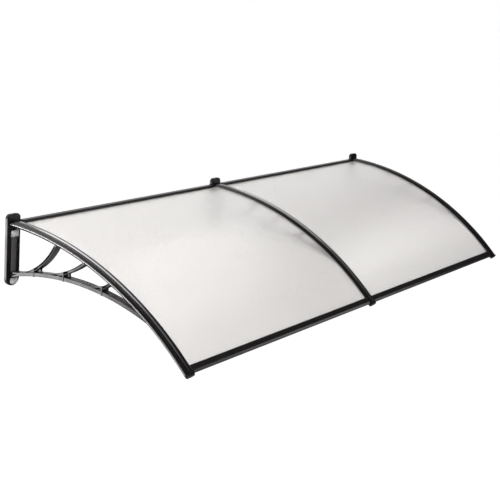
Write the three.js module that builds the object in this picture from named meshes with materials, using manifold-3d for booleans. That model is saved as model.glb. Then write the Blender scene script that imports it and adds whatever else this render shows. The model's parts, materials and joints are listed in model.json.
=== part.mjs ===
// Door canopy: two bent polycarbonate sheets on three moulded wall brackets.
// Millimetres. X runs along the wall, the wall is the plane y = 0, the canopy reaches towards -Y, +Z is up.
// The origin is the centre of the centre bracket's wall face.

import * as THREE from 'three';
import { mergeVertices } from 'three/addons/utils/BufferGeometryUtils.js';
import Module from 'manifold-3d';

const wasm = await Module();
wasm.setup();

// Clearances
const contactGap = 0.1;
const bentGap = 0.3;
const buttGap = 0.5;

// Polycarbonate sheets: flat size, and the curve they are bent to
const sheetWidth = 1000;
const sheetLength = 763;
const sheetThickness = 2.5;
const sheetRadius = 1015;
const sheetHeight = 82.5;
const sheetSpacing = 6;
const sheetSteps = 24;

// Wall plate of a bracket
const plateWidth = 52;
const plateHeight = 222;
const plateThickness = 10.5;
const plateTopCorner = 14;
const plateBottomCorner = 24;
const cornerSteps = 5;
const sheetPlateGap = 1.5;

// Raised pads under the wall bolts
const padWidth = 32;
const padHeight = 23;
const padThickness = 3;
const padCorner = 5;
const padMargin = 4;

// Low rounded rib up the middle of the plate, from the brace to the upper pad
const spineWidth = 20;
const spineRise = 5;
const spineSteps = 5;

// Curved arm under the sheet
const armWidth = 31;
const armThicknessAtWall = 5.3;
const armThicknessAtTip = 4.2;

// Arched brace, measured at its lower edge; its root is where it leaves the plate
const barDepth = 26;
const braceThickness = 11.8;
const braceRadius = 874;
const braceCrestReach = 268;
const braceRootHeight = -82.8;
const braceSteps = 20;

// Root of the brace: it flares up and down towards the plate and has a recess in each side
const rootRise = 4.5;
const rootDrop = 2.2;
const rootLength = 34;
const recessRise = 7;
const recessHeight = 4.5;
const recessDepth = 6;
const recessEnd = 3;

// Curved struts. Distances from the wall: foot on the brace, collar, end of the web, head at the arm.
// Lift is the foot's height above the brace's middle line, bow is how far the strut hangs below its chord.
const struts = [
  { foot: 31, collar: 111, web: 135, head: 199, lift: -0.6, bow: 23.8 },
  { foot: 130, collar: 232, web: 252, head: 315, lift: -0.6, bow: 14.4 },
  { foot: 315, collar: 384, web: 400, head: 415, lift: -0.3, bow: 11.5 },
];
const strutThickness = 8.8;
const strutSteps = 10;

// Webs and collars between strut and brace
const webThickness = 8;
const webHollow = 5;
const webHollowSteps = 4;
const collarThickness = 5.5;
const collarProud = 1;

// Cover strip over the arm: sloped sides, a rim along each, and a round bead between two grooves
const coverWidth = 34;
const coverHeight = 10;
const coverLip = 2.5;
const coverShoulder = 1;
const coverRimWidth = 1.3;
const coverRimHeight = 8.8;
const coverWall = 2.2;
const coverOverSheet = 1;
const grooveWidth = 3.8;
const grooveDepth = 2.6;
const grooveDraft = 0.8;
const beadWidth = 12.8;
const beadDrop = 0.8;
const beadSteps = 3;

// Screws that draw the cover onto the arm, driven from below
const screwCount = 5;
const firstScrewFromBack = 58;
const lastScrewFromTip = 88.5;
const screwLength = 14;
const screwDiameter = 4;
const screwHeadDiameter = 8;
const screwHeadHeight = 2.8;
const screwHoleClearance = 0.5;
const sheetHoleClearance = 1;
const bossDiameter = 9;
const screwSides = 10;

// Edge rails, each with a sloped nose along its closed side
const railDepth = 23.5;
const railWall = 2;
const railRise = 8;
const railNose = 6;
const railNoseDrop = 2.8;
const railSheetGap = 1;

// Front end cap
const capLength = 7;
const capDrop = 10;
const capEdge = 2;
const capTongueLength = 12;
const capSteps = 6;

// Wall bolts and washers
const upperBoltHeight = 52;
const lowerBoltHeight = -96;
const boltDiameter = 8;
const boltHoleClearance = 0.5;
const boltHeadFlats = 13;
const boltHeadHeight = 5.5;
const washerMargin = 1.5;
const washerThickness = 2;
const hexSides = 6;
const roundSides = 16;

// Finishes
const blackPlastic = { color: 0x1b1b1d, roughness: 0.42, metalness: 0 };
const blackAluminium = { color: 0x2a2a2c, roughness: 0.38, metalness: 0.3 };
const frostedSheet = { color: 0xe9e9e6, roughness: 0.45, metalness: 0 };
const zincSteel = { color: 0xb9bbbe, roughness: 0.3, metalness: 0.9 };

// Places that follow from the sizes above
const arcCentreHeight = sheetHeight - sheetRadius;
const sheetBack = plateThickness + sheetPlateGap;
const sheetFront = sheetBack + sheetLength;
const railFront = sheetFront + railSheetGap + railWall;
const armEnd = railFront + buttGap;
const armTop = -sheetThickness - bentGap;
const braceRise = braceRadius - Math.sqrt(braceRadius ** 2 - (braceCrestReach - plateThickness) ** 2);
const braceCrestHeight = braceRootHeight + braceRise;
const washerSeat = plateThickness + padThickness + contactGap;
const coverFoot = bentGap;
const coverCrown = beadWidth + 2 * (grooveWidth + coverRimWidth);
const grooveFloor = coverRimHeight - grooveDepth;
const coverRoof = grooveFloor - coverWall;
const sheetOuterEdge = sheetSpacing / 2 + sheetWidth;
const bracketSpacing = sheetOuterEdge + coverOverSheet - coverWidth / 2;
const firstScrew = sheetBack + firstScrewFromBack;
const lastScrew = armEnd - lastScrewFromTip;
const screwPitch = (lastScrew - firstScrew) / (screwCount - 1);
const screwPlaces = Array.from({ length: screwCount }, (unused, i) => firstScrew + i * screwPitch);

// A point beside the bent sheet: travel along its upper face from the wall, height above that face
function besideSheet(travel, height) {
  const angle = travel / sheetRadius;
  const radius = sheetRadius + height;
  return new THREE.Vector2(-radius * Math.sin(angle), arcCentreHeight + radius * Math.cos(angle));
}

function travelAtReach(reach) {
  return sheetRadius * Math.asin(reach / sheetRadius);
}

// Frame on the sheet: its Z points out of the upper face, its -Y runs towards the front
function frameOnSheet(x, travel, height) {
  const place = besideSheet(travel, height);
  const frame = new THREE.Matrix4().makeRotationX(travel / sheetRadius);
  return frame.setPosition(x, place.x, place.y);
}

// Height of the arm's underside below the sheet's upper face; the arm thins towards its tip
function armUnderside(travel) {
  const thinning = (armThicknessAtWall - armThicknessAtTip) * (travel / armEnd);
  return armTop - armThicknessAtWall + thinning;
}

// Solids and their joins

function solidFrom(geometry) {
  const bare = geometry.index ? geometry.toNonIndexed() : geometry.clone();
  bare.deleteAttribute('normal');
  bare.deleteAttribute('uv');
  const merged = mergeVertices(bare);
  return new wasm.Manifold(new wasm.Mesh({
    numProp: 3,
    vertProperties: merged.attributes.position.array,
    triVerts: new Uint32Array(merged.index.array),
  }));
}

function geometryFrom(solid) {
  const mesh = solid.getMesh();
  const geometry = new THREE.BufferGeometry();
  geometry.setAttribute('position', new THREE.BufferAttribute(mesh.vertProperties, 3));
  geometry.setIndex(new THREE.BufferAttribute(mesh.triVerts, 1));
  geometry.computeVertexNormals();
  return geometry;
}

function joined(solids) {
  return solids.reduce((sum, solid) => sum.add(solid));
}

function cut(solid, tools) {
  return tools.reduce((rest, tool) => rest.subtract(tool), solid);
}

function points(steps, pointAt) {
  return Array.from({ length: steps + 1 }, (unused, i) => pointAt(i / steps));
}

function mirrored(half) {
  const other = half.map((point) => new THREE.Vector2(-point.x, point.y));
  return [...half, ...other.reverse()];
}

// A side outline in y and z, extruded along X between two places
function acrossWidth(outline, left, right) {
  const options = { depth: right - left, bevelEnabled: false };
  const geometry = new THREE.ExtrudeGeometry(new THREE.Shape(outline), options);
  geometry.translate(0, 0, left);
  const yAxis = new THREE.Vector3(0, 1, 0);
  const zAxis = new THREE.Vector3(0, 0, 1);
  const xAxis = new THREE.Vector3(1, 0, 0);
  return geometry.applyMatrix4(new THREE.Matrix4().makeBasis(yAxis, zAxis, xAxis));
}

function acrossMiddle(outline, width) {
  return acrossWidth(outline, -width / 2, width / 2);
}

// A section in x and height above the sheet, carried along the bent sheet
function alongSheet(section, start, end) {
  const options = { depth: end - start, steps: sheetSteps, bevelEnabled: false };
  const geometry = new THREE.ExtrudeGeometry(new THREE.Shape(section), options);
  const position = geometry.attributes.position;
  for (let i = 0; i < position.count; i += 1) {
    const place = besideSheet(start + position.getZ(i), position.getY(i));
    position.setXYZ(i, position.getX(i), place.x, place.y);
  }
  return geometry;
}

// A round bar along Z
function roundBar(diameter, bottom, top, sides) {
  const geometry = new THREE.CylinderGeometry(diameter / 2, diameter / 2, top - bottom, sides);
  geometry.rotateX(Math.PI / 2);
  return geometry.translate(0, 0, (top + bottom) / 2);
}

// Turns a shape that stands along Z so that it points from the wall towards the front
function pointingForward(geometry) {
  return geometry.rotateX(Math.PI / 2);
}

// Bracket moulding

// An upright slab with rounded corners, from the wall's face forward
function roundedSlab(width, bottom, top, bottomCorner, topCorner, depth) {
  const outline = new THREE.Shape();
  const half = width / 2;
  const quarter = Math.PI / 2;
  outline.absarc(half - topCorner, top - topCorner, topCorner, 0, quarter);
  outline.absarc(topCorner - half, top - topCorner, topCorner, quarter, 2 * quarter);
  outline.absarc(bottomCorner - half, bottom + bottomCorner, bottomCorner, 2 * quarter, 3 * quarter);
  outline.absarc(half - bottomCorner, bottom + bottomCorner, bottomCorner, 3 * quarter, 4 * quarter);
  const options = { depth, bevelEnabled: false, curveSegments: cornerSteps };
  return solidFrom(pointingForward(new THREE.ExtrudeGeometry(outline, options)));
}

// The plate's outline drawn in by a margin
function plateSlab(margin, depth) {
  const half = plateHeight / 2 - margin;
  const width = plateWidth - 2 * margin;
  return roundedSlab(width, -half, half, plateBottomCorner - margin, plateTopCorner - margin, depth);
}

// The outline of the pad under a wall bolt, kept inside the plate's rounded ends and drawn in by a margin
function padSlab(height, margin, depth) {
  const half = padHeight / 2 - margin;
  const corner = padCorner - margin;
  const pad = roundedSlab(padWidth - 2 * margin, height - half, height + half, corner, corner, depth);
  return pad.intersect(plateSlab(padMargin + margin, depth));
}

function padSolid(height) {
  return padSlab(height, 0, plateThickness + padThickness);
}

function spineGeometry() {
  const bottom = braceHeight(plateThickness, braceThickness / 2);
  const spineTop = upperBoltHeight - padHeight / 2;
  const outline = new THREE.Shape();
  outline.moveTo(spineWidth / 2, -plateThickness / 2);
  outline.lineTo(-spineWidth / 2, -plateThickness / 2);
  outline.absellipse(0, -plateThickness, spineWidth / 2, spineRise, Math.PI, 2 * Math.PI);
  const options = { depth: spineTop - bottom, bevelEnabled: false, curveSegments: spineSteps };
  return new THREE.ExtrudeGeometry(outline, options).translate(0, 0, bottom);
}

// Height of the brace at a distance from the wall, a given way above its lower edge
function braceHeight(reach, above) {
  const radius = braceRadius + above;
  const aside = reach - braceCrestReach;
  return braceCrestHeight - braceRadius + Math.sqrt(radius * radius - aside * aside);
}

function bracePoint(reach, above) {
  return new THREE.Vector2(-reach, braceHeight(reach, above));
}

// The value between two bounds at which a test turns from true to false
function turningPoint(low, high, test) {
  const halvings = 40;
  let [near, far] = [low, high];
  for (let i = 0; i < halvings; i += 1) {
    const middle = (near + far) / 2;
    if (test(middle)) {
      near = middle;
    } else {
      far = middle;
    }
  }
  return near;
}

// Distance from the wall at which the brace's lower edge runs into the arm's underside
function braceEndReach() {
  const tipReach = sheetRadius * Math.sin(armEnd / sheetRadius);
  return turningPoint(braceCrestReach, tipReach, (reach) => {
    const travel = travelAtReach(reach);
    const under = besideSheet(travel, armUnderside(travel));
    return braceHeight(-under.x, 0) < under.y;
  });
}

// A strut's middle line: an arc from the brace to the arm, bowed below its chord
function strutLine(strut) {
  const headTravel = travelAtReach(strut.head);
  const foot = bracePoint(strut.foot, braceThickness / 2 + strut.lift);
  const head = besideSheet(headTravel, (armTop + armUnderside(headTravel)) / 2);
  const chord = head.clone().sub(foot);
  const half = chord.length() / 2;
  const radius = (half * half + strut.bow * strut.bow) / (2 * strut.bow);
  const along = chord.clone().normalize();
  const inward = new THREE.Vector2(chord.y, -chord.x).normalize();
  const centre = foot.clone().add(head).multiplyScalar(0.5).addScaledVector(inward, radius - strut.bow);
  const spread = Math.asin(half / radius);
  const at = (share, below) => {
    const angle = spread * (2 * share - 1);
    const point = centre.clone().addScaledVector(along, (radius + below) * Math.sin(angle));
    return point.addScaledVector(inward, -(radius + below) * Math.cos(angle));
  };
  const heightAt = (reach) => at(turningPoint(0, 1, (share) => -at(share, 0).x < reach), 0).y;
  return { at, heightAt };
}

// The thin web in a strut's crotch, hollowed where it ends
function webGeometry(strut, line) {
  const rise = (reach) => line.heightAt(reach) - braceHeight(reach, braceThickness / 2);
  const start = turningPoint(strut.foot, strut.collar, (reach) => rise(reach) < strutThickness / 2);
  const reachAt = (share) => start + (strut.web - start) * share;
  const lower = points(strutSteps, (share) => bracePoint(reachAt(share), braceThickness / 2));
  const upper = points(strutSteps, (share) => {
    const reach = reachAt(share);
    return new THREE.Vector2(-reach, line.heightAt(reach));
  });
  const foot = lower[strutSteps];
  const head = upper[strutSteps];
  const hollow = points(webHollowSteps, (share) => {
    const point = foot.clone().lerp(head, share);
    point.x += webHollow * Math.sin(Math.PI * share);
    return point;
  });
  return acrossMiddle([...lower.slice(0, -1), ...hollow, ...upper.slice(0, -1).reverse()], webThickness);
}

// The proud collar that ties a strut to the brace
function collarGeometry(strut, line) {
  const bottom = braceHeight(strut.collar, 0);
  const top = line.heightAt(strut.collar) + strutThickness / 2;
  const collar = new THREE.BoxGeometry(barDepth + 2 * collarProud, collarThickness, top - bottom);
  return collar.translate(0, -strut.collar, (top + bottom) / 2);
}

function strutGeometries(strut) {
  const line = strutLine(strut);
  const lower = points(strutSteps, (share) => line.at(share, strutThickness / 2));
  const upper = points(strutSteps, (share) => line.at(share, -strutThickness / 2));
  const bar = acrossMiddle([...lower, ...upper.reverse()], barDepth);
  return [bar, webGeometry(strut, line), collarGeometry(strut, line)];
}

// The flared root of the brace
function rootGeometry() {
  const inPlate = plateThickness / 2;
  const end = plateThickness + rootLength;
  return acrossMiddle([
    bracePoint(inPlate, -rootDrop),
    bracePoint(end, 0),
    bracePoint(end, braceThickness),
    bracePoint(inPlate, braceThickness + rootRise),
  ], barDepth);
}

// The recess in one side of the root
function recessSolid(side) {
  const end = plateThickness + rootLength - recessEnd;
  const floor = recessRise - recessHeight / 2;
  const roof = recessRise + recessHeight / 2;
  const outline = [
    bracePoint(plateThickness, floor),
    bracePoint(end, floor),
    bracePoint(end, roof),
    bracePoint(plateThickness, roof),
  ];
  const face = (side * barDepth) / 2;
  return solidFrom(acrossWidth(outline, face - recessDepth, face + recessDepth));
}

function bracketSolid() {
  const root = plateThickness / 2;
  const armTravel = (share) => root + (armEnd - root) * share;
  const armUpper = points(sheetSteps, (share) => besideSheet(armTravel(share), armTop));
  const armLower = points(sheetSteps, (share) => {
    const travel = armTravel(share);
    return besideSheet(travel, armUnderside(travel));
  });
  const farAbove = points(sheetSteps, (share) => besideSheet(armTravel(share), plateHeight));
  const arm = acrossMiddle([...armUpper, ...armLower.reverse()], armWidth);
  const aboveArm = acrossMiddle([...armUpper, ...farAbove.reverse()], 2 * plateWidth);

  const braceEnd = braceEndReach();
  const braceReach = (share) => root + (braceEnd - root) * share;
  const braceLower = points(braceSteps, (share) => bracePoint(braceReach(share), 0));
  const braceUpper = points(braceSteps, (share) => bracePoint(braceReach(share), braceThickness));
  const brace = acrossMiddle([...braceLower, ...braceUpper.reverse()], barDepth);

  const bars = joined([brace, rootGeometry(), ...struts.flatMap(strutGeometries)].map(solidFrom));
  const lattice = cut(bars, [solidFrom(aboveArm), recessSolid(-1), recessSolid(1)]);
  const pads = [upperBoltHeight, lowerBoltHeight].map(padSolid);
  const plate = joined([plateSlab(0, plateThickness), ...pads, solidFrom(spineGeometry())]);
  const whole = joined([plate, solidFrom(arm), lattice]);

  const screwHoles = screwPlaces.flatMap((travel) => {
    const seat = armUnderside(travel);
    const hole = roundBar(screwDiameter + 2 * screwHoleClearance, seat - armThicknessAtWall, 0, screwSides);
    const headRoom = screwHeadDiameter + 2 * screwHoleClearance;
    const access = roundBar(headRoom, seat - 2 * braceThickness, seat, screwSides);
    return [hole, access].map((tool) => solidFrom(tool.applyMatrix4(frameOnSheet(0, travel, 0))));
  });
  const boltHoles = [upperBoltHeight, lowerBoltHeight].map((height) => {
    const bore = boltDiameter + 2 * boltHoleClearance;
    const hole = roundBar(bore, -plateThickness, 2 * plateThickness + padThickness, roundSides);
    return solidFrom(pointingForward(hole).translate(0, 0, height));
  });
  return cut(whole, [...screwHoles, ...boltHoles]);
}

// Cover strip

function screwTip(travel) {
  return armUnderside(travel) - contactGap + screwLength;
}

function coverSolid() {
  const halfWidth = coverWidth / 2;
  const halfCrown = coverCrown / 2;
  const halfBead = beadWidth / 2;
  const bead = points(beadSteps, (share) => {
    const across = 1 - (2 * share * beadSteps) / (2 * beadSteps + 1);
    return new THREE.Vector2(halfBead * across, coverHeight - beadDrop * across * across);
  });
  const outer = mirrored([
    new THREE.Vector2(halfWidth, coverFoot),
    new THREE.Vector2(halfWidth, coverLip),
    new THREE.Vector2(halfCrown + coverShoulder, coverRimHeight - coverShoulder),
    new THREE.Vector2(halfCrown, coverRimHeight),
    new THREE.Vector2(halfBead + grooveWidth, coverRimHeight),
    new THREE.Vector2(halfBead + grooveWidth - grooveDraft, grooveFloor),
    new THREE.Vector2(halfBead + grooveDraft, grooveFloor),
    ...bead,
  ]);
  const inner = mirrored([
    new THREE.Vector2(halfWidth - coverWall, coverFoot),
    new THREE.Vector2(halfWidth - coverWall, coverLip),
    new THREE.Vector2(halfCrown - coverWall / 2, coverRoof),
  ]);
  const strip = solidFrom(alongSheet([...outer, ...inner.reverse()], sheetBack, armEnd));
  const bosses = screwPlaces.map((travel) => {
    const boss = roundBar(bossDiameter, coverFoot, coverRoof + coverWall / 2, screwSides);
    return solidFrom(boss.applyMatrix4(frameOnSheet(0, travel, 0)));
  });
  const pilots = screwPlaces.map((travel) => {
    const bore = screwDiameter + 2 * contactGap;
    const pilot = roundBar(bore, -sheetThickness, screwTip(travel) + contactGap, screwSides);
    return solidFrom(pilot.applyMatrix4(frameOnSheet(0, travel, 0)));
  });
  return cut(joined([strip, ...bosses]), pilots);
}

// Sheet between two edges, drilled for the screws of the end bracket

function sheetSolid(left, right, endBracket) {
  const section = [
    new THREE.Vector2(left, -sheetThickness),
    new THREE.Vector2(right, -sheetThickness),
    new THREE.Vector2(right, 0),
    new THREE.Vector2(left, 0),
  ];
  const holes = screwPlaces.map((travel) => {
    const bore = screwDiameter + 2 * sheetHoleClearance;
    const hole = roundBar(bore, -2 * sheetThickness, sheetThickness, screwSides);
    return solidFrom(hole.applyMatrix4(frameOnSheet(endBracket, travel, 0)));
  });
  return cut(solidFrom(alongSheet(section, sheetBack, sheetFront)), holes);
}

// Edge rail: a channel whose web stands at one place along the sheet and whose flanges reach over the sheet

function railOutline(web, towardsSheet) {
  const at = (inset, height) => besideSheet(web + towardsSheet * inset, height);
  const under = -sheetThickness - bentGap;
  const lip = railDepth - railWall;
  const roof = railRise - railWall;
  const noseRoof = roof - (railNoseDrop * (railNose - railWall)) / railNose;
  return [
    at(0, under - railWall),
    at(railDepth, under - railWall),
    at(railDepth, under),
    at(railWall, under),
    at(railWall, noseRoof),
    at(railNose, roof),
    at(lip, roof),
    at(lip, bentGap),
    at(railDepth, bentGap),
    at(railDepth, roof),
    at(lip, railRise),
    at(railNose, railRise),
    at(0, railRise - railNoseDrop),
  ];
}

// End cap: a rounded front with a tongue that plugs into the hollow of the cover strip

function capSolid() {
  const half = coverWidth / 2;
  const outline = new THREE.Shape();
  outline.moveTo(half, coverLip);
  outline.lineTo(coverCrown / 2, coverHeight);
  outline.lineTo(-coverCrown / 2, coverHeight);
  outline.lineTo(-half, coverLip);
  outline.absellipse(0, 0, half, capDrop, Math.PI, 2 * Math.PI);
  const body = pointingForward(new THREE.ExtrudeGeometry(outline, {
    depth: capLength - capEdge,
    bevelThickness: capEdge,
    bevelSize: capEdge,
    bevelOffset: -capEdge,
    bevelSegments: 2,
    curveSegments: capSteps,
  }));
  const rear = new THREE.BoxGeometry(2 * coverWidth, 2 * capEdge, 2 * (coverHeight + capDrop));
  rear.translate(0, capEdge, 0);
  const tongueWidth = coverCrown - coverWall - 2 * bentGap;
  const tongueBottom = coverFoot + bentGap;
  const tongueTop = coverRoof - bentGap;
  const tongue = new THREE.BoxGeometry(tongueWidth, capTongueLength + capEdge, tongueTop - tongueBottom);
  tongue.translate(0, (capTongueLength - capEdge) / 2, (tongueTop + tongueBottom) / 2);
  return solidFrom(body).subtract(solidFrom(rear)).add(solidFrom(tongue));
}

// Fasteners

// Pan-head screw along Z, its head below the seat
function screwGeometry() {
  const head = screwHeadDiameter / 2;
  const shank = screwDiameter / 2;
  const outline = [
    new THREE.Vector2(0, -screwHeadHeight),
    new THREE.Vector2(shank, -screwHeadHeight),
    new THREE.Vector2(head, -screwHeadHeight / 2),
    new THREE.Vector2(head, 0),
    new THREE.Vector2(shank, 0),
    new THREE.Vector2(shank, screwLength - shank),
    new THREE.Vector2(shank / 2, screwLength),
    new THREE.Vector2(0, screwLength),
  ];
  return new THREE.LatheGeometry(outline, screwSides).rotateX(Math.PI / 2);
}

// Washer plate in the shape of the pad
function washerSolid(height) {
  const front = washerSeat + washerThickness;
  const bore = roundBar(boltDiameter + 2 * contactGap, 0, 2 * front, roundSides);
  const hole = solidFrom(pointingForward(bore).translate(0, 0, height));
  const behind = solidFrom(new THREE.BoxGeometry(2 * plateWidth, 2 * washerSeat, 2 * plateHeight));
  return cut(padSlab(height, washerMargin, front), [behind, hole]);
}

// Hex-head wall bolt, shown as far as the wall's face
function boltGeometry() {
  const seat = washerSeat + washerThickness + contactGap;
  const headCorners = (2 * boltHeadFlats) / Math.sqrt(3);
  const shank = roundBar(boltDiameter, contactGap, seat + boltHeadHeight / 2, roundSides);
  const head = roundBar(headCorners, seat, seat + boltHeadHeight, hexSides);
  return pointingForward(geometryFrom(solidFrom(shank).add(solidFrom(head))));
}

// Assembly

const canopy = new THREE.Group();

function addPiece(parent, name, geometry, finish) {
  const piece = new THREE.Mesh(geometry, new THREE.MeshStandardMaterial(finish));
  piece.name = name;
  parent.add(piece);
  return piece;
}

const bracketPlaces = [
  { side: 'left', x: -bracketSpacing },
  { side: 'centre', x: 0 },
  { side: 'right', x: bracketSpacing },
];
const boltPlaces = [
  { level: 'upper', height: upperBoltHeight },
  { level: 'lower', height: lowerBoltHeight },
];

const bracket = geometryFrom(bracketSolid());
const cover = geometryFrom(coverSolid());
const cap = geometryFrom(capSolid());

for (const { side, x } of bracketPlaces) {
  const station = new THREE.Group();
  station.position.x = x;
  canopy.add(station);
  addPiece(station, `bracket_${side}`, bracket.clone(), blackPlastic);
  addPiece(station, `cover_strip_${side}`, cover.clone(), blackPlastic);
  addPiece(station, `end_cap_${side}`, cap.clone(), blackPlastic)
    .applyMatrix4(frameOnSheet(0, armEnd + bentGap, 0));
  for (const { level, height } of boltPlaces) {
    addPiece(station, `wall_bolt_${side}_${level}`, boltGeometry(), zincSteel).position.z = height;
    addPiece(station, `washer_${side}_${level}`, geometryFrom(washerSolid(height)), zincSteel);
  }
  screwPlaces.forEach((travel, i) => {
    addPiece(station, `cover_screw_${side}_${i + 1}`, screwGeometry(), zincSteel)
      .applyMatrix4(frameOnSheet(0, travel, armUnderside(travel) - contactGap));
  });
}

for (const { side, sign } of [{ side: 'left', sign: -1 }, { side: 'right', sign: 1 }]) {
  const between = (first, last) => [sign * first, sign * last].sort((a, b) => a - b);
  const sheetEdges = between(sheetSpacing / 2, sheetOuterEdge);
  const sheet = sheetSolid(...sheetEdges, sign * bracketSpacing);
  addPiece(canopy, `sheet_${side}`, geometryFrom(sheet), frostedSheet);

  const besidePlate = plateWidth / 2 + buttGap;
  const rearEnds = between(besidePlate, bracketSpacing - besidePlate);
  const rearOutline = railOutline(buttGap, 1);
  addPiece(canopy, `rear_rail_${side}`, acrossWidth(rearOutline, ...rearEnds), blackAluminium);

  const besideCover = coverWidth / 2 + buttGap;
  const frontEnds = between(besideCover, bracketSpacing - besideCover);
  const frontOutline = railOutline(railFront, -1);
  addPiece(canopy, `front_rail_${side}`, acrossWidth(frontOutline, ...frontEnds), blackAluminium);
}

export default canopy;
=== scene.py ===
"""Door canopy: bent polycarbonate sheets on moulded wall brackets, as it hangs on a house.
Metres, in the part's own frame: X along the wall, the canopy reaching towards -Y, +Z up."""

import json
import math

import bmesh
import bpy
from mathutils import Matrix, Quaternion, Vector

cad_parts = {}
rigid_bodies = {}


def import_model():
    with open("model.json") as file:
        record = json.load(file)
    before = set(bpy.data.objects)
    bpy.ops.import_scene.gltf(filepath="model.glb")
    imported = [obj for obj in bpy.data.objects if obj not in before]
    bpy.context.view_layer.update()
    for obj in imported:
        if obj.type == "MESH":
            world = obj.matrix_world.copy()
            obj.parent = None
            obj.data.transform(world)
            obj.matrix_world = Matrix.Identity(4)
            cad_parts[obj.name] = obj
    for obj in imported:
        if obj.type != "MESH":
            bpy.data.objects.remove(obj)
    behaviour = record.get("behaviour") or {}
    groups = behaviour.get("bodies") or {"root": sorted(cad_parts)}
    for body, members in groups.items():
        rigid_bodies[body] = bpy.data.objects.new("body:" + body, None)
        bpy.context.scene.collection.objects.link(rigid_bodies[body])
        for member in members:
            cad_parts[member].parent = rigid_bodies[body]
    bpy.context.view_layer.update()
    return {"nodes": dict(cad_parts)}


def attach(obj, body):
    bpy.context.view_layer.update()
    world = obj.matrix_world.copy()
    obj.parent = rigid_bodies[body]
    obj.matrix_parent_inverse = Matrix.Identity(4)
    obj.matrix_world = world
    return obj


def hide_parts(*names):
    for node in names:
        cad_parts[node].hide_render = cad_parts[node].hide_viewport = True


for leftover in list(bpy.data.objects):
    bpy.data.objects.remove(leftover)
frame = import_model()


# Wall plates
# The upright plate of each bracket lies flat on the wall, part of the bracket's one black moulding. It has
# rounded ends, a raised pad round each bolt, and a low rounded rib; the rib is matt, and its front is painted
# a lighter grey as a highlight.

plate_width = 0.052
plate_height = 0.222
plate_thickness = 0.0105
plate_top_corner = 0.014
plate_bottom_corner = 0.024
plate_edge = 0.0022
corner_steps = 8
pad_width = 0.032
pad_height = 0.023
pad_corner = 0.005
pad_rise = 0.003
pad_edge = 0.0011
pad_margin = 0.004
bolt_heights = {"upper": 0.052, "lower": -0.096}
bolt_bore = 0.009
rib_width = 0.020
rib_rise = 0.005
rib_bottom = -0.083
rib_top = bolt_heights["upper"] - pad_height / 2
rib_tuck = 0.002
rib_sides = 40
sharp_bend = math.radians(25)
weld_gap = 0.000005
level_slack = 1e-6
cut_over = 0.0005
plastic_black = (0.0068, 0.0054, 0.0060, 1)
plastic_rubbed = (0.037, 0.034, 0.0355, 1)
# The rib's lighter grey is painted highlight: the rib is the same black plastic, drawn lighter where it
# catches light.
rib_painted_highlight_grey = (0.079, 0.073, 0.076, 1)
dust_grey = (0.33, 0.32, 0.30, 1)
grain_size = 1900


def place(tree, kind, inputs=None, **settings):
    """Sets one node into a tree; an input is a plain value or another node's output."""
    node = tree.nodes.new(kind)
    for name, value in settings.items():
        setattr(node, name, value)
    for socket, value in (inputs or {}).items():
        if isinstance(value, bpy.types.NodeSocket):
            tree.links.new(value, node.inputs[socket])
        else:
            node.inputs[socket].default_value = value
    return node


def new_group(name, inputs, outputs):
    """An empty effect with named number inputs and outputs."""
    group = bpy.data.node_groups.new(name, "ShaderNodeTree")
    for label, value in inputs.items():
        socket = group.interface.new_socket(label, in_out="INPUT", socket_type="NodeSocketFloat")
        socket.default_value = value
    for label in outputs:
        group.interface.new_socket(label, in_out="OUTPUT", socket_type="NodeSocketFloat")
    return group, group.nodes.new("NodeGroupInput"), group.nodes.new("NodeGroupOutput")


def reckoned(tree, operation, first, second):
    """One step of arithmetic on two values."""
    return place(tree, "ShaderNodeMath", {0: first, 1: second}, operation=operation).outputs["Value"]


def edge_rub_effect():
    """Where handling has rubbed an edge: the rounded normal leaves the flat one, broken up by noise."""
    group, given, result = new_group("Edge rub", {"Radius": 0.0012, "Amount": 0.5}, ["Rub"])
    rounded = place(group, "ShaderNodeBevel", {"Radius": given.outputs["Radius"]}, samples=4)
    flat = place(group, "ShaderNodeNewGeometry")
    likeness = place(group, "ShaderNodeVectorMath",
                     {0: rounded.outputs["Normal"], 1: flat.outputs["Normal"]}, operation="DOT_PRODUCT")
    edge = place(group, "ShaderNodeMapRange",
                 {"Value": likeness.outputs["Value"], "From Min": 0.995, "From Max": 0.80})
    where = place(group, "ShaderNodeTexCoord")
    patches = place(group, "ShaderNodeTexNoise",
                    {"Vector": where.outputs["Object"], "Scale": 70, "Detail": 4, "Roughness": 0.65})
    broken = place(group, "ShaderNodeMapRange",
                   {"Value": patches.outputs["Fac"], "From Min": 0.40, "From Max": 0.66})
    worn = reckoned(group, "MULTIPLY", edge.outputs["Result"], broken.outputs["Result"])
    share = reckoned(group, "MULTIPLY", worn, given.outputs["Amount"])
    group.links.new(share, result.inputs["Rub"])
    return group


def dust_effect():
    """Fine dust that settles on faces that look up, thicker in soft patches."""
    group, given, result = new_group("Dust", {"Amount": 0.1}, ["Dust"])
    facing = place(group, "ShaderNodeNewGeometry")
    split = place(group, "ShaderNodeSeparateXYZ", {"Vector": facing.outputs["Normal"]})
    upward = place(group, "ShaderNodeMapRange",
                   {"Value": split.outputs["Z"], "From Min": 0.35, "From Max": 0.95})
    where = place(group, "ShaderNodeTexCoord")
    patches = place(group, "ShaderNodeTexNoise",
                    {"Vector": where.outputs["Object"], "Scale": 26, "Detail": 6, "Roughness": 0.7})
    soft = place(group, "ShaderNodeMapRange",
                 {"Value": patches.outputs["Fac"], "From Min": 0.35, "From Max": 0.75})
    lying = reckoned(group, "MULTIPLY", upward.outputs["Result"], soft.outputs["Result"])
    share = reckoned(group, "MULTIPLY", lying, given.outputs["Amount"])
    group.links.new(share, result.inputs["Dust"])
    return group


edge_rub = edge_rub_effect()
dust = dust_effect()


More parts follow.
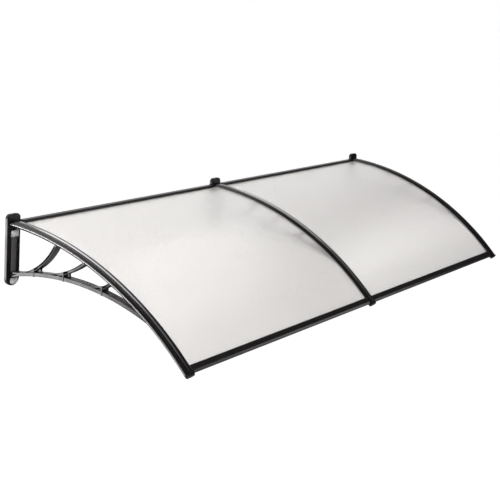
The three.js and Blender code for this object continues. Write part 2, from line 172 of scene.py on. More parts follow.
def blank_material(name):
    """A new material with one shader and nothing set."""
    material = bpy.data.materials.new(name)
    material.use_nodes = True
    tree = material.node_tree
    tree.nodes.clear()
    shader = tree.nodes.new("ShaderNodeBsdfPrincipled")
    sink = tree.nodes.new("ShaderNodeOutputMaterial")
    tree.links.new(shader.outputs["BSDF"], sink.inputs["Surface"])
    return material, tree, shader


def blend(tree, share, first, second):
    """A mix of two colours; a Mix node takes colours in its sockets 6 and 7 and gives one from its third."""
    return place(tree, "ShaderNodeMix", {0: share, 6: first, 7: second}, data_type="RGBA").outputs[2]


def worn_colour(tree, base, rubbed, radius, rub_amount, dust_amount):
    """The base colour, lighter where it is rubbed and greyer where dust lies."""
    rub = place(tree, "ShaderNodeGroup", {"Radius": radius, "Amount": rub_amount}, node_tree=edge_rub)
    film = place(tree, "ShaderNodeGroup", {"Amount": dust_amount}, node_tree=dust)
    used = blend(tree, rub.outputs["Rub"], base, rubbed)
    return blend(tree, film.outputs["Dust"], used, dust_grey)


def finish(tree, shader, colour, gloss, relief, strength, distance):
    """Gives a shader its colour, its gloss and a fine relief."""
    skin = place(tree, "ShaderNodeBump", {"Height": relief, "Strength": strength, "Distance": distance})
    tree.links.new(colour, shader.inputs["Base Color"])
    tree.links.new(gloss, shader.inputs["Roughness"])
    tree.links.new(skin.outputs["Normal"], shader.inputs["Normal"])


def moulded_plastic(name, base, smoothest, roughest):
    material, tree, shader = blank_material(name)
    where = place(tree, "ShaderNodeTexCoord").outputs["Object"]
    colour = worn_colour(tree, base, plastic_rubbed, radius=0.0012, rub_amount=0.55, dust_amount=0.05)
    flow = place(tree, "ShaderNodeTexNoise", {"Vector": where, "Scale": 22, "Detail": 5, "Roughness": 0.6})
    gloss = place(tree, "ShaderNodeMapRange",
                  {"Value": flow.outputs["Fac"], "From Min": 0.3, "From Max": 0.7,
                   "To Min": smoothest, "To Max": roughest})
    grain = place(tree, "ShaderNodeTexNoise",
                  {"Vector": where, "Scale": grain_size, "Detail": 2, "Roughness": 0.5})
    finish(tree, shader, colour, gloss.outputs["Result"], grain.outputs["Fac"],
           strength=0.10, distance=0.0003)
    shader.inputs["IOR"].default_value = 1.42
    return material


black_moulding = moulded_plastic("moulded black plastic", plastic_black, 0.24, 0.38)
# The rib's own material: matt, and painted a lighter grey as a highlight.
rib_painted_highlight_moulding = moulded_plastic("matt plastic with painted highlight", rib_painted_highlight_grey, 0.55, 0.72)


def mould_edges(form, radius, segments=2, keep=lambda edge: True):
    """Rounds a form's outer edges as a mould leaves them."""
    sharp = [edge for edge in form.edges
             if edge.is_manifold and edge.calc_face_angle_signed() > sharp_bend and keep(edge)]
    bmesh.ops.bevel(form, geom=sharp, offset=radius, offset_type="OFFSET", affect="EDGES",
                    segments=segments, profile=0.5, material=-1, clamp_overlap=True)


def upright_slab(width, bottom, top, bottom_corner, top_corner, depth):
    """A slab with rounded corners that stands on the wall and comes forward by its depth."""
    form = bmesh.new()
    bmesh.ops.create_grid(form, x_segments=1, y_segments=1, size=0.5)
    bmesh.ops.scale(form, verts=form.verts, vec=(width, top - bottom, 1))
    bmesh.ops.rotate(form, verts=form.verts, matrix=Matrix.Rotation(math.pi / 2, 3, "X"))
    bmesh.ops.translate(form, verts=form.verts, vec=(0, 0, (top + bottom) / 2))
    corners = {bottom_corner: [], top_corner: []}
    for vert in form.verts:
        corners[top_corner if vert.co.z > (top + bottom) / 2 else bottom_corner].append(vert)
    for radius, verts in corners.items():
        bmesh.ops.bevel(form, geom=verts, offset=radius, offset_type="OFFSET", affect="VERTICES",
                        segments=corner_steps, profile=0.5, material=-1)
    front = bmesh.ops.extrude_face_region(form, geom=form.faces[:], use_keep_orig=True)["geom"]
    bmesh.ops.translate(form, verts=[item for item in front if isinstance(item, bmesh.types.BMVert)],
                        vec=(0, -depth, 0))
    bmesh.ops.recalc_face_normals(form, faces=form.faces)
    return form


def as_stock(form):
    """A passing object for a form that is to be joined or cut."""
    mesh = bpy.data.meshes.new("stock")
    form.to_mesh(mesh)
    form.free()
    stock = bpy.data.objects.new("stock", mesh)
    bpy.context.scene.collection.objects.link(stock)
    return stock


def in_fixed_order(items, key):
    """Puts corners, edges or faces in the same order in every run."""
    ranks = {item: rank for rank, item in enumerate(sorted(items, key=key))}
    items.sort(key=ranks.get)
    items.index_update()


def worked(form, tools, operation):
    """Joins forms to a first one (UNION), cuts them out (DIFFERENCE) or keeps what both fill (INTERSECT)."""
    stock = as_stock(form)
    tray = bpy.data.collections.new("tray")
    bpy.context.scene.collection.children.link(tray)
    for tool in tools:
        tray.objects.link(as_stock(tool))
    step = stock.modifiers.new("work", "BOOLEAN")
    step.operation = operation
    step.operand_type = "COLLECTION"
    step.collection = tray
    step.solver = "EXACT"
    result = bmesh.new()
    result.from_object(stock, bpy.context.evaluated_depsgraph_get())
    for used in [*tray.objects, stock]:
        bpy.data.meshes.remove(used.data)
    bpy.data.collections.remove(tray)
    in_fixed_order(result.verts, lambda vert: vert.co.to_tuple(7))
    in_fixed_order(result.edges, lambda edge: sorted(vert.index for vert in edge.verts))
    in_fixed_order(result.faces, lambda face: sorted(vert.index for vert in face.verts))
    bmesh.ops.remove_doubles(result, verts=result.verts, dist=weld_gap)
    return result


def round_bar(radius, length, sides_round=24):
    """A round bar along Z with its middle at the origin."""
    form = bmesh.new()
    bmesh.ops.create_cone(form, cap_ends=True, segments=sides_round, radius1=radius, radius2=radius,
                          depth=length)
    return form


def moved(form, spot, turn=0):
    """Turns a form about X, then sets it at a spot."""
    bmesh.ops.rotate(form, verts=form.verts, matrix=Matrix.Rotation(turn, 3, "X"))
    bmesh.ops.translate(form, verts=form.verts, vec=spot)
    return form


def pad_slab(height, margin, depth):
    """A bolt's pad, kept inside the rounded ends of the plate."""
    half = pad_height / 2 - margin
    corner = pad_corner - margin
    inset = pad_margin + margin
    pad = upright_slab(pad_width - 2 * margin, height - half, height + half, corner, corner, depth)
    inner = upright_slab(plate_width - 2 * inset, inset - plate_height / 2, plate_height / 2 - inset,
                         plate_bottom_corner - inset, plate_top_corner - inset, depth + 2 * cut_over)
    return worked(pad, [moved(inner, (0, cut_over, 0))], "INTERSECT")


def wall_plate_forms():
    """The plate, its two pads and its rib, still apart."""
    plate = upright_slab(plate_width, -plate_height / 2, plate_height / 2, plate_bottom_corner,
                         plate_top_corner, plate_thickness)
    mould_edges(plate, plate_edge, 3, lambda edge: min(v.co.y for v in edge.verts) < -plate_thickness / 2
                and abs(edge.verts[0].co.y - edge.verts[1].co.y) < level_slack)
    forms = [plate]
    for height in bolt_heights.values():
        pad = pad_slab(height, 0, plate_thickness + pad_rise)
        mould_edges(pad, pad_edge, 2, lambda edge: max(v.co.y for v in edge.verts) < -plate_thickness)
        forms.append(pad)
    rib_head = rib_top + rib_tuck
    rib = round_bar(rib_width / 2, rib_head - rib_bottom, rib_sides)
    bmesh.ops.scale(rib, verts=rib.verts, vec=(1, 2 * rib_rise / rib_width, 1))
    forms.append(moved(rib, (0, -plate_thickness, (rib_head + rib_bottom) / 2)))
    return forms


# Arms, braces and struts
# The rest of the bracket: a flat curved arm under the sheet, an arched brace below it, and three curved
# struts, each tied to the brace by a collar and a thin web. All are moulded in one with the plate.

sides = {"left": -0.987, "centre": 0, "right": 0.987}
sheet_radius = 1.015
sheet_top = 0.0825
sheet_thickness = 0.0025
arc_centre = sheet_top - sheet_radius
arm_width = 0.031
arm_depth_at_wall = 0.0053
arm_depth_at_tip = 0.0042
arm_gap = 0.0003
arm_draft = 0.36
arm_end = 0.7785
arm_steps = 40
bar_width = 0.026
brace_depth = 0.0118
brace_radius = 0.874
brace_crest_reach = 0.268
brace_root = -0.0828
brace_end_reach = 0.5626
brace_rise = brace_radius - math.sqrt(brace_radius ** 2 - (brace_crest_reach - plate_thickness) ** 2)
brace_centre = brace_root + brace_rise - brace_radius
root_rise = 0.0045
root_drop = 0.0022
root_length = 0.034
recess_depth = 0.006
recess_length = 0.029
recess_height = 0.0045
recess_edge = 0.0008
recess_reach = plate_thickness + 0.0155
recess_rise = 0.007
slope_span = 0.02
strut_depth = 0.0088
strut_steps = 16
struts = (
    {"foot": 0.031, "collar": 0.111, "web": 0.135, "head": 0.199, "lift": -0.0006, "bow": 0.0238},
    {"foot": 0.130, "collar": 0.232, "web": 0.252, "head": 0.315, "lift": -0.0006, "bow": 0.0144},
    {"foot": 0.315, "collar": 0.384, "web": 0.400, "head": 0.415, "lift": -0.0003, "bow": 0.0115},
)
web_thickness = 0.008
web_hollow = 0.005
web_steps = 12
web_first_step = 4
hollow_steps = 6
collar_thickness = 0.0055
collar_proud = 0.001
bar_edge = 0.0012
arm_edge = bar_edge * 0.8
groove_height = 0.0056
groove_depth = 0.008
groove_rise = 0.0009
groove_start = 0.2
groove_stop = 0.04
first_screw = 0.070
screw_pitch = 0.155
screws_a_strip = 5
screw_travels = [first_screw + step * screw_pitch for step in range(screws_a_strip)]
screw_hole = 0.0025
screw_hole_length = 0.02
head_hole = 0.0045
head_hole_length = 0.0236
hole_sides = 16
bore_length = 0.06
clearing = 0.1
rib_margin = 0.0005
turned_forward = -0.1
# Material slot that holds the rib's painted highlight.
painted_highlight_slot = 1
crease = math.radians(38)


def arm_height(travel):
    """Height of the arm's underside against the sheet's upper face; the arm thins towards its tip."""
    thinning = (arm_depth_at_wall - arm_depth_at_tip) * travel / arm_end
    return -sheet_thickness - arm_gap - arm_depth_at_wall + thinning


def beside_sheet(travel, height):
    """The place (y, z) a way along the bent sheet from the wall and above its upper face."""
    radius = sheet_radius + height
    turn = travel / sheet_radius
    return Vector((-radius * math.sin(turn), arc_centre + radius * math.cos(turn)))


def brace_height(reach, above):
    """Height of a place above the brace's underside, a way out from the wall."""
    aside = reach - brace_crest_reach
    return brace_centre + math.sqrt((brace_radius + above) ** 2 - aside ** 2)


def curved_bar(centre, radius, depth, width, start, end, steps):
    """A bar of rectangular section bent round a centre (y, z); angles lean from upright towards the front."""
    form = bmesh.new()
    bmesh.ops.create_grid(form, x_segments=1, y_segments=1, size=0.5)
    bmesh.ops.scale(form, verts=form.verts, vec=(width, depth, 1))
    bmesh.ops.rotate(form, verts=form.verts, matrix=Matrix.Rotation(math.pi / 2, 3, "X"))
    bmesh.ops.translate(form, verts=form.verts, vec=(0, 0, radius))
    bmesh.ops.rotate(form, verts=form.verts, matrix=Matrix.Rotation(start, 3, "X"))
    bmesh.ops.delete(form, geom=form.faces[:], context="FACES_ONLY")
    bmesh.ops.spin(form, geom=form.edges[:], cent=(0, 0, 0), axis=(1, 0, 0), angle=end - start, steps=steps)
    bmesh.ops.holes_fill(form, edges=[edge for edge in form.edges if edge.is_boundary])
    bmesh.ops.translate(form, verts=form.verts, vec=(0, *centre))
    bmesh.ops.recalc_face_normals(form, faces=form.faces)
    return form


def cut_plate(outline, thickness):
    """A plate cut to an outline of (y, z) places, its middle on the bracket's middle plane."""
    form = bmesh.new()
    corners = [form.verts.new((-thickness / 2, y, z)) for y, z in outline]
    face = form.faces.new(corners)
    across = bmesh.ops.extrude_face_region(form, geom=[face], use_keep_orig=True)["geom"]
    bmesh.ops.translate(form, verts=[item for item in across if isinstance(item, bmesh.types.BMVert)],
                        vec=(thickness, 0, 0))
    bmesh.ops.recalc_face_normals(form, faces=form.faces)
    return form


def lean(centre, spot):
    """The angle from upright at which a place (y, z) lies as seen from a centre."""
    return math.atan2(centre[0] - spot[0], spot[1] - centre[1])


def strut_arc(strut):
    """Centre, radius and end angles of a strut's middle line, which hangs below its chord."""
    foot = Vector((-strut["foot"], brace_height(strut["foot"], brace_depth / 2 + strut["lift"])))
    travel = sheet_radius * math.asin(strut["head"] / sheet_radius)
    head = beside_sheet(travel, (arm_height(travel) - sheet_thickness - arm_gap) / 2)
    chord = head - foot
    half = chord.length / 2
    radius = (half ** 2 + strut["bow"] ** 2) / (2 * strut["bow"])
    inward = Vector((chord.y, -chord.x)).normalized()
    centre = (foot + head) / 2 + inward * (radius - strut["bow"])
    start = lean(centre, foot)
    sweep = (lean(centre, head) - start + math.pi) % (2 * math.pi) - math.pi
    return centre, radius, start, start + sweep


def strut_height(arc, reach):
    """Height of a strut's middle line, a way out from the wall."""
    centre, radius = arc[:2]
    return centre.y - math.sqrt(radius ** 2 - (-reach - centre.x) ** 2)


def strut_forms(strut):
    """A strut with its grooves, its collar and its web, still apart."""
    arc = strut_arc(strut)
    centre, radius, start, end = arc
    bar = curved_bar(centre, radius, strut_depth, bar_width, start, end, strut_steps)
    collar_foot = brace_height(strut["collar"], 0) - collar_proud
    collar_head = strut_height(arc, strut["collar"]) + strut_depth / 2 + collar_proud
    collar = bmesh.new()
    bmesh.ops.create_cube(collar, size=1)
    bmesh.ops.scale(collar, verts=collar.verts,
                    vec=(bar_width + 2 * collar_proud, collar_thickness, collar_head - collar_foot))
    moved(collar, (0, -strut["collar"], (collar_foot + collar_head) / 2))
    reaches = [strut["foot"] + (strut["web"] - strut["foot"]) * step / web_steps
               for step in range(web_first_step, web_steps + 1)]
    below = [Vector((-reach, brace_height(reach, brace_depth / 2))) for reach in reaches]
    above = [Vector((-reach, strut_height(arc, reach))) for reach in reversed(reaches)]
    hollow = [below[-1].lerp(above[0], step / hollow_steps)
              + Vector((web_hollow * math.sin(math.pi * step / hollow_steps), 0))
              for step in range(1, hollow_steps)]
    web = cut_plate([*below, *hollow, *above], web_thickness)
    mould_edges(bar, bar_edge)
    mould_edges(collar, bar_edge)
    sweep = end - start
    for face in (-bar_width / 2, bar_width / 2):
        groove = curved_bar(centre, radius - groove_rise, groove_height, 2 * groove_depth,
                            start + groove_start * sweep, end - groove_stop * sweep, strut_steps)
        bar = worked(bar, [moved(groove, (face, 0, 0))], "DIFFERENCE")
    return [bar, collar, web]


def bracket_form():
    """The whole moulding at the middle of the wall."""
    arm_top = sheet_radius - sheet_thickness - arm_gap
    arm_middle = arm_top - arm_depth_at_wall / 2
    in_plate = plate_thickness / 2
    last = arm_end / sheet_radius
    arm = curved_bar((0, arc_centre), arm_middle, arm_depth_at_wall, arm_width, in_plate / sheet_radius, last,
                     arm_steps)
    for vert in arm.verts:
        spot = Vector((vert.co.y, vert.co.z - arc_centre))
        if spot.length < arm_middle:
            travel = sheet_radius * math.atan2(-spot.x, spot.y)
            vert.co.y, vert.co.z = beside_sheet(travel, arm_height(travel))
            vert.co.x *= 1 - 2 * arm_draft * arm_depth_at_wall / arm_width
    mould_edges(arm, arm_edge)

    centre = (-brace_crest_reach, brace_centre)
    ends = [lean(centre, (-reach, brace_height(reach, brace_depth / 2)))
            for reach in (in_plate, brace_end_reach)]
    brace = curved_bar(centre, brace_radius + brace_depth / 2, brace_depth, bar_width, *ends, arm_steps)
    mould_edges(brace, bar_edge)
    root_end = plate_thickness + root_length
    root = cut_plate([(-in_plate, brace_height(in_plate, -root_drop)),
                      (-root_end, brace_height(root_end, 0)),
                      (-root_end, brace_height(root_end, brace_depth)),
                      (-in_plate, brace_height(in_plate, brace_depth + root_rise))], bar_width)
    mould_edges(root, bar_edge)
    above_arm = curved_bar((0, arc_centre), arm_top + clearing / 2, clearing, clearing, 0, last, arm_steps)
    lattice = worked(brace, [root, *[form for strut in struts for form in strut_forms(strut)]], "UNION")
    cuts = [above_arm]
    for face in (-bar_width / 2, bar_width / 2):
        pocket = bmesh.new()
        bmesh.ops.create_cube(pocket, size=1)
        bmesh.ops.scale(pocket, verts=pocket.verts, vec=(2 * recess_depth, recess_length, recess_height))
        mould_edges(pocket, recess_edge)
        near, middle, far = [brace_height(recess_reach + way, recess_rise)
                             for way in (-slope_span / 2, 0, slope_span / 2)]
        cuts.append(moved(pocket, (face, -recess_reach, middle), (near - far) / slope_span))
    lattice = worked(lattice, cuts, "DIFFERENCE")
    whole = worked(lattice, [arm, *wall_plate_forms()], "UNION")

    holes = [moved(round_bar(bolt_bore / 2, bore_length), (0, 0, height), math.pi / 2)
             for height in bolt_heights.values()]
    for travel in screw_travels:
        turn = travel / sheet_radius
        seat = arm_height(travel)
        holes.append(moved(round_bar(screw_hole, screw_hole_length, hole_sides),
                           (0, *beside_sheet(travel, seat)), turn))
        holes.append(moved(round_bar(head_hole, head_hole_length, hole_sides),
                           (0, *beside_sheet(travel, seat - head_hole_length / 2)), turn))
    finished = worked(whole, holes, "DIFFERENCE")
    # Faces on the front of the rib take the second material, whose lighter grey is a painted highlight.
    for face in finished.faces:
        across, forward, height = face.calc_center_median()
        on_rib = abs(across) < rib_width / 2 and rib_bottom < height < rib_top
        proud = plate_thickness < -forward < plate_thickness + rib_rise + rib_margin
        if on_rib and proud and face.normal.y < turned_forward:
            face.material_index = painted_highlight_slot
    return finished


def put_in_place(form, name, material, slot, *nodes):
    """Makes the finished skin a piece of the canopy that stands for its solids."""
    for face in form.faces:
        face.smooth = True
    for edge in form.edges:
        edge.smooth = edge.is_manifold and edge.calc_face_angle() < crease
    mesh = bpy.data.meshes.new(name)
    form.to_mesh(mesh)
    form.free()
    mesh.materials.append(material)
    piece = bpy.data.objects.new(name, mesh)
    bpy.context.scene.collection.objects.link(piece)
    flats = piece.modifiers.new("flat faces stay flat", "WEIGHTED_NORMAL")
    flats.keep_sharp = True
    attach(piece, "root")
    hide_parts(*nodes)
    return piece


bracket = bracket_form()
for side, along in sides.items():
    casting = moved(bracket.copy(), (along, 0, 0))
    piece = put_in_place(casting, f"moulding_{side}", black_moulding, "black_plastic", f"bracket_{side}")
    # The second material is the rib's painted highlight.
    piece.data.materials.append(rib_painted_highlight_moulding)
bracket.free()


# Wall bolts and washers
# Zinc-plated hexagon bolts, tightened through pressed washer plates onto the raised pads.
# The heads have the turned chamfer of a rolled bolt; the shanks stop at the wall's face.

zinc_bright = (0.80, 0.81, 0.82, 1)
zinc_dull = (0.58, 0.59, 0.60, 1)
washer_margin = 0.0015
washer_thickness = 0.002
washer_edge = 0.0006
fit_gap = 0.0001
washer_seat = plate_thickness + pad_rise + fit_gap
bolt_radius = 0.004
head_flats = 0.013
head_height = 0.0055
head_seat = washer_seat + washer_thickness + fit_gap
head_top = head_flats * 0.47
turning_length = head_height + 0.0002
turned_sides = 48


def zinc_plate():
    material, tree, shader = blank_material("zinc plated steel")
    where = place(tree, "ShaderNodeTexCoord").outputs["Object"]
    spangle = place(tree, "ShaderNodeTexNoise", {"Vector": where, "Scale": 260, "Detail": 4})
    tint = blend(tree, spangle.outputs["Fac"], zinc_bright, zinc_dull)
    gloss = place(tree, "ShaderNodeMapRange",
                  {"Value": spangle.outputs["Fac"], "To Min": 0.22, "To Max": 0.46})
    finish(tree, shader, tint, gloss.outputs["Result"], spangle.outputs["Fac"],
           strength=0.08, distance=0.0002)
    shader.inputs["Metallic"].default_value = 0.4
    return material


plated_steel = zinc_plate()


def washer_form(height):
    """A plate in the outline of its pad, bored for the bolt."""
    washer = moved(pad_slab(height, washer_margin, washer_thickness), (0, -washer_seat, 0))
    mould_edges(washer, washer_edge)
    bore = moved(round_bar(bolt_radius + fit_gap, bore_length), (0, 0, height), math.pi / 2)
    return worked(washer, [bore], "DIFFERENCE")


def bolt_form(height):
    """A hexagon head with its turned chamfer, on a plain shank."""
    head = round_bar(head_flats / math.sqrt(3), head_height, 6)
    turned = bmesh.new()
    bmesh.ops.create_cone(turned, cap_ends=True, segments=turned_sides, depth=turning_length,
                          radius1=head_top + turning_length * math.sqrt(3), radius2=head_top)
    head = worked(head, [turned], "INTERSECT")
    length = head_seat + head_height / 2 - fit_gap
    shank = moved(round_bar(bolt_radius, length), (0, 0, -length / 2))
    whole = worked(head, [shank], "UNION")
    return moved(whole, (0, -head_seat - head_height / 2, height), math.pi / 2)


for side, along in sides.items():
    for level, height in bolt_heights.items():
        put_in_place(moved(washer_form(height), (along, 0, 0)), f"washer_plate_{side}_{level}", plated_steel,
                     "zinc_steel", f"washer_{side}_{level}")
        put_in_place(moved(bolt_form(height), (along, 0, 0)), f"hexagon_bolt_{side}_{level}", plated_steel,
                     "zinc_steel", f"wall_bolt_{side}_{level}")


# Cover screws
# Zinc-plated pan-head screws, driven up through the arm into the bosses of the cover strip.
# They show only from below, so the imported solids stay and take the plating.

for node, solid in frame["nodes"].items():
    if node.startswith("cover_screw"):
        for slot in solid.material_slots:
            slot.material = plated_steel


# Sheets
# Two frosted polycarbonate sheets, sawn to size and bent cold over the arms.
# They let light through and blur whatever is behind them.

sheet_white = (0.945, 0.922, 0.905, 1)
sheet_shade = (0.905, 0.882, 0.866, 1)
halves = ("left", "right")
skin_weld_gap = 0.00002
flat_bend = math.radians(0.4)


def frosted_polycarbonate():
    material, tree, shader = blank_material("frosted polycarbonate")
    where = place(tree, "ShaderNodeTexCoord").outputs["Object"]
    cloud = place(tree, "ShaderNodeTexNoise", {"Vector": where, "Scale": 3.2, "Detail": 3})
    tint = blend(tree, cloud.outputs["Fac"], sheet_white, sheet_shade)
    frost = place(tree, "ShaderNodeTexNoise", {"Vector": where, "Scale": 900, "Detail": 3})
    gloss = place(tree, "ShaderNodeMapRange",
                  {"Value": frost.outputs["Fac"], "To Min": 0.20, "To Max": 0.32})
    finish(tree, shader, tint, gloss.outputs["Result"], frost.outputs["Fac"],
           strength=0.06, distance=0.0003)
    shader.inputs["Transmission Weight"].default_value = 0.75
    shader.inputs["IOR"].default_value = 1.585
    return material


frosted_sheet = frosted_polycarbonate()


def welded_copy(node, reshape=lambda form: None):
    """The solid's own faces as one joined skin, reshaped where asked, its flat areas made whole."""
    form = bmesh.new()
    form.from_mesh(frame["nodes"][node].data)
    bmesh.ops.remove_doubles(form, verts=form.verts, dist=skin_weld_gap)
    reshape(form)
    bmesh.ops.dissolve_limit(form, angle_limit=flat_bend, verts=form.verts, edges=form.edges)
    return form


roof_sheets = {}
for half in halves:
    sheet = welded_copy(f"sheet_{half}")
    roof_sheets[half] = put_in_place(sheet, f"roof_sheet_{half}", frosted_sheet, "frosted_sheet",
                                     f"sheet_{half}")


# Edge rails
# Extruded aluminium channels with a dark satin coating, pushed onto the straight edges of the sheets.
# The die leaves fine lines along them.

coating_dark = (0.0132, 0.0112, 0.0120, 1)
coating_rubbed = (0.063, 0.058, 0.061, 1)
rail_edge_radius = 0.0005
shortest_rail_edge = 0.5


def satin_coating():
    material, tree, shader = blank_material("dark satin aluminium")
    where = place(tree, "ShaderNodeTexCoord").outputs["Object"]
    colour = worn_colour(tree, coating_dark, coating_rubbed, radius=0.0009, rub_amount=0.5, dust_amount=0.06)
    drawn = place(tree, "ShaderNodeMapping", {"Vector": where, "Scale": (2, 900, 900)})
    lines = place(tree, "ShaderNodeTexNoise", {"Vector": drawn.outputs["Vector"], "Scale": 1, "Detail": 3})
    gloss = place(tree, "ShaderNodeMapRange",
                  {"Value": lines.outputs["Fac"], "To Min": 0.26, "To Max": 0.44})
    finish(tree, shader, colour, gloss.outputs["Result"], lines.outputs["Fac"],
           strength=0.12, distance=0.0002)
    shader.inputs["Metallic"].default_value = 0.35
    return material


dark_rail = satin_coating()

for half in halves:
    for end in ("rear", "front"):
        rail = welded_copy(f"{end}_rail_{half}")
        mould_edges(rail, rail_edge_radius, 2, lambda edge: edge.calc_length() > shortest_rail_edge)
        put_in_place(rail, f"{end}_channel_{half}", dark_rail, "dark_aluminium", f"{end}_rail_{half}")


# Cover strips and end caps
# Black extruded strips with a round bead between two grooves, bent with the sheets and drawn onto the arms
# by screws from below. A moulded cap plugs into the front end of each.

strip_black = (0.0058, 0.0046, 0.0052, 1)
strip_rubbed = (0.032, 0.029, 0.0305, 1)
strip_edge = 0.0004
strip_half_width = 0.017
strip_draft = 0.0011
foot_height = 0.001
foot_margin = 0.0005
shortest_strip_edge = 0.012
lengthwise_slack = 1e-5


def glossy_extrusion():
    material, tree, shader = blank_material("glossy black extrusion")
    where = place(tree, "ShaderNodeTexCoord").outputs["Object"]
    colour = worn_colour(tree, strip_black, strip_rubbed, radius=0.0009, rub_amount=0.5, dust_amount=0.03)
    drawn = place(tree, "ShaderNodeMapping", {"Vector": where, "Scale": (900, 4, 4)})
    lines = place(tree, "ShaderNodeTexNoise", {"Vector": drawn.outputs["Vector"], "Scale": 1, "Detail": 3})
    gloss = place(tree, "ShaderNodeMapRange",
                  {"Value": lines.outputs["Fac"], "To Min": 0.12, "To Max": 0.26})
    finish(tree, shader, colour, gloss.outputs["Result"], lines.outputs["Fac"],
           strength=0.06, distance=0.0002)
    shader.inputs["Coat Weight"].default_value = 0.6
    shader.inputs["Coat Roughness"].default_value = 0.12
    return material


glossy_strip = glossy_extrusion()


def drawn_feet(along):
    """Draws the strip's outer feet in where they meet the sheet."""
    def reshape(form):
        for vert in form.verts:
            height = Vector((vert.co.y, vert.co.z - arc_centre)).length - sheet_radius
            aside = vert.co.x - along
            if height < foot_height and abs(aside) > strip_half_width - foot_margin:
                vert.co.x -= math.copysign(strip_draft, aside)
    return reshape


pressing_strips = {}
for side, along in sides.items():
    strip = welded_copy(f"cover_strip_{side}", drawn_feet(along))
    mould_edges(strip, strip_edge, 2,
                lambda edge: abs(edge.verts[0].co.x - edge.verts[1].co.x) < lengthwise_slack
                and edge.calc_length() > shortest_strip_edge)
    pressing_strips[side] = put_in_place(strip, f"pressing_strip_{side}", glossy_strip, "black_plastic",
                                         f"cover_strip_{side}")
    cap = welded_copy(f"end_cap_{side}")
    put_in_place(cap, f"tip_cap_{side}", black_moulding, "black_plastic", f"end_cap_{side}")


# Studio
# A pale floor far below the canopy, in a white surround. Soft lamps light the whole, and a few light one
# piece alone, to lay a sheen on a sheet or the light line along a cover strip.

floor_height = -2.2
floor_size = 60
floor_colour = (0.80, 0.80, 0.80, 1)
surround_light = 0.50
floor_glow = 0.62
floor_roughness = 0.9
towards_backdrop = (0, 0.95, -0.32)
towards_ground = (0.85, 0.33, -0.42)
deepest_shade = 0.97
strip_middle = (-0.3, 0.04)
along_strips = (-0.09, -0.98, 0.15)


def seen_directly(tree):
    """1 for what the camera sees straight on, in a reflection or through the sheet, else 0."""
    path = place(tree, "ShaderNodeLightPath")
    mirrored = reckoned(tree, "MAXIMUM", path.outputs["Is Camera Ray"], path.outputs["Is Glossy Ray"])
    return reckoned(tree, "MAXIMUM", mirrored, path.outputs["Is Transmission Ray"])


floor_paint, floor_tree, floor_shader = blank_material("studio floor")
floor_shader.inputs["Base Color"].default_value = floor_colour
floor_shader.inputs["Roughness"].default_value = floor_roughness
floor_shader.inputs["Emission Color"].default_value = (1, 1, 1, 1)
glow = reckoned(floor_tree, "MULTIPLY", seen_directly(floor_tree), floor_glow)
floor_tree.links.new(glow, floor_shader.inputs["Emission Strength"])
floor_form = bmesh.new()
bmesh.ops.create_grid(floor_form, x_segments=1, y_segments=1, size=floor_size)
bmesh.ops.translate(floor_form, verts=floor_form.verts, vec=(0, 0, floor_height))
floor_mesh = bpy.data.meshes.new("studio_floor")
floor_form.to_mesh(floor_mesh)
floor_form.free()
floor_mesh.materials.append(floor_paint)
floor = bpy.data.objects.new("studio_floor", floor_mesh)
bpy.context.scene.collection.objects.link(floor)
floor.visible_glossy = False

surround = bpy.data.worlds.new("white surround")
surround.use_nodes = True
air = surround.node_tree
air.nodes.clear()
level = place(air, "ShaderNodeMapRange", {"Value": seen_directly(air), "To Min": surround_light, "To Max": 1})
path = place(air, "ShaderNodeLightPath")
direction = place(air, "ShaderNodeTexCoord")
backdrop = place(air, "ShaderNodeVectorMath",
                 {0: direction.outputs["Generated"], 1: towards_backdrop}, operation="DOT_PRODUCT")
room = place(air, "ShaderNodeMapRange",
             {"Value": backdrop.outputs["Value"], "From Min": 0.35, "From Max": -0.20,
              "To Max": deepest_shade}, interpolation_type="SMOOTHSTEP")
below = place(air, "ShaderNodeVectorMath",
              {0: direction.outputs["Generated"], 1: towards_ground}, operation="DOT_PRODUCT")
ground = place(air, "ShaderNodeMapRange",
               {"Value": below.outputs["Value"], "From Min": 0.90, "From Max": 0.96,
                "To Max": deepest_shade}, interpolation_type="SMOOTHSTEP")
darkest = reckoned(air, "MAXIMUM", room.outputs["Result"], ground.outputs["Result"])
dimmed = reckoned(air, "MULTIPLY", darkest, path.outputs["Is Glossy Ray"])
strength = reckoned(air, "SUBTRACT", level.outputs["Result"], dimmed)
white = place(air, "ShaderNodeBackground", {"Color": (1, 1, 1, 1), "Strength": strength})
place(air, "ShaderNodeOutputWorld", {"Surface": white.outputs["Background"]})
bpy.context.scene.world = surround


def soft_lamp(name, spot, aim, size, power, upright=(0, 0, 1), mirrored=True, matt=True, only=None):
    """A rectangular lamp, seen in gloss, on matt faces or both; it can light one piece only."""
    lamp = bpy.data.lights.new(name, "AREA")
    lamp.shape = "RECTANGLE"
    lamp.size, lamp.size_y = size
    lamp.energy = power
    holder = bpy.data.objects.new(name, lamp)
    back = (Vector(spot) - Vector(aim)).normalized()
    across = Vector(upright).cross(back).normalized()
    holder.location = spot
    holder.rotation_euler = Matrix((across, back.cross(across), back)).transposed().to_euler()
    holder.visible_glossy = mirrored
    holder.visible_diffuse = matt
    bpy.context.scene.collection.objects.link(holder)
    if only:
        holder.light_linking.receiver_collection = bpy.data.collections.new(f"lit by {name}")
        holder.light_linking.receiver_collection.objects.link(only)


def strip_lamp(name, spot, size, power, side):
    """A long lamp above one cover strip, which draws the light line along its bead."""
    soft_lamp(name, spot, (sides[side], *strip_middle), size, power, along_strips, matt=False,
              only=pressing_strips[side])


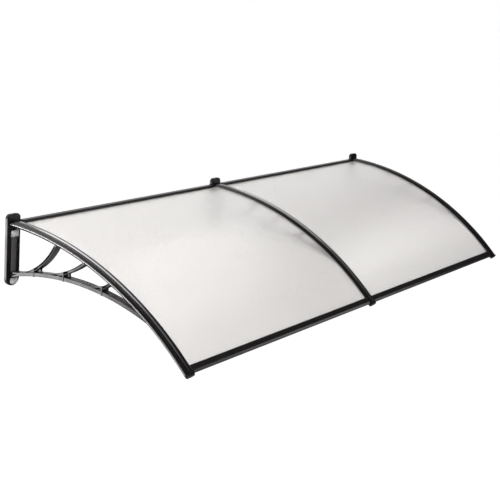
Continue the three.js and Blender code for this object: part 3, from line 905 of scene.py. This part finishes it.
soft_lamp("key_lamp", (-2.1, 1.1, 2.1), (-0.6, -0.4, 0), (1.6, 1.6), 79, mirrored=False)
soft_lamp("fill_lamp", (-2.2, -1.6, 0.9), (-0.6, -0.4, 0), (1.0, 1.0), 24, mirrored=False)
soft_lamp("far_lamp", (2.6, -0.8, 1.4), (1.0, -0.4, 0), (0.8, 0.8), 13, mirrored=False,
          only=roof_sheets["right"])
soft_lamp("rim_lamp", (-2.53, 1.5, -0.53), (-0.987, -0.1, 0), (1.0, 1.0), 32, matt=False)
soft_lamp("side_lamp", (-2.37, -1.34, -0.52), (-0.987, 0, 0), (0.8, 0.8), 8, matt=False)
soft_lamp("nose_lamp", (1.6, -2.3, 0.12), (-0.5, -0.71, -0.2), (1.2, 0.4), 8, matt=False)
strip_lamp("left_strip_lamp", (0.2, 0.25, 1.5), (0.8, 1.8), 20, "left")
strip_lamp("left_tip_lamp", (0.05, -1.05, 1.47), (0.6, 0.9), 2.2, "left")
strip_lamp("centre_strip_lamp", (1.4, 0.15, 1.48), (0.6, 1.7), 10, "centre")
strip_lamp("centre_tip_lamp", (1.3, -1.1, 1.45), (0.6, 0.9), 2, "centre")
soft_lamp("sheen_lamp", (1.1, -0.2, 1.5), (-0.6, -0.4, 0), (0.8, 1.4), 4.2, along_strips, matt=False,
          only=roof_sheets["left"])

camera_spot = (-3.2615, -2.4533, 0.8948)
camera_turn = math.radians(-55.18)
camera_tilt = math.radians(14.40)
camera_roll = math.radians(4.51)
camera_lens = 81.2

lens = bpy.data.cameras.new("photo_camera")
lens.sensor_width = 36
lens.lens = camera_lens
camera = bpy.data.objects.new("photo_camera", lens)
towards_camera = Vector((math.sin(camera_turn) * math.cos(camera_tilt),
                         -math.cos(camera_turn) * math.cos(camera_tilt),
                         math.sin(camera_tilt)))
level_turn = (-towards_camera).to_track_quat("-Z", "Y")
camera.location = camera_spot
camera.rotation_euler = (level_turn @ Quaternion((0, 0, 1), camera_roll)).to_euler()
bpy.context.scene.collection.objects.link(camera)
bpy.context.scene.camera = camera
bpy.context.scene.view_settings.view_transform = "Standard"
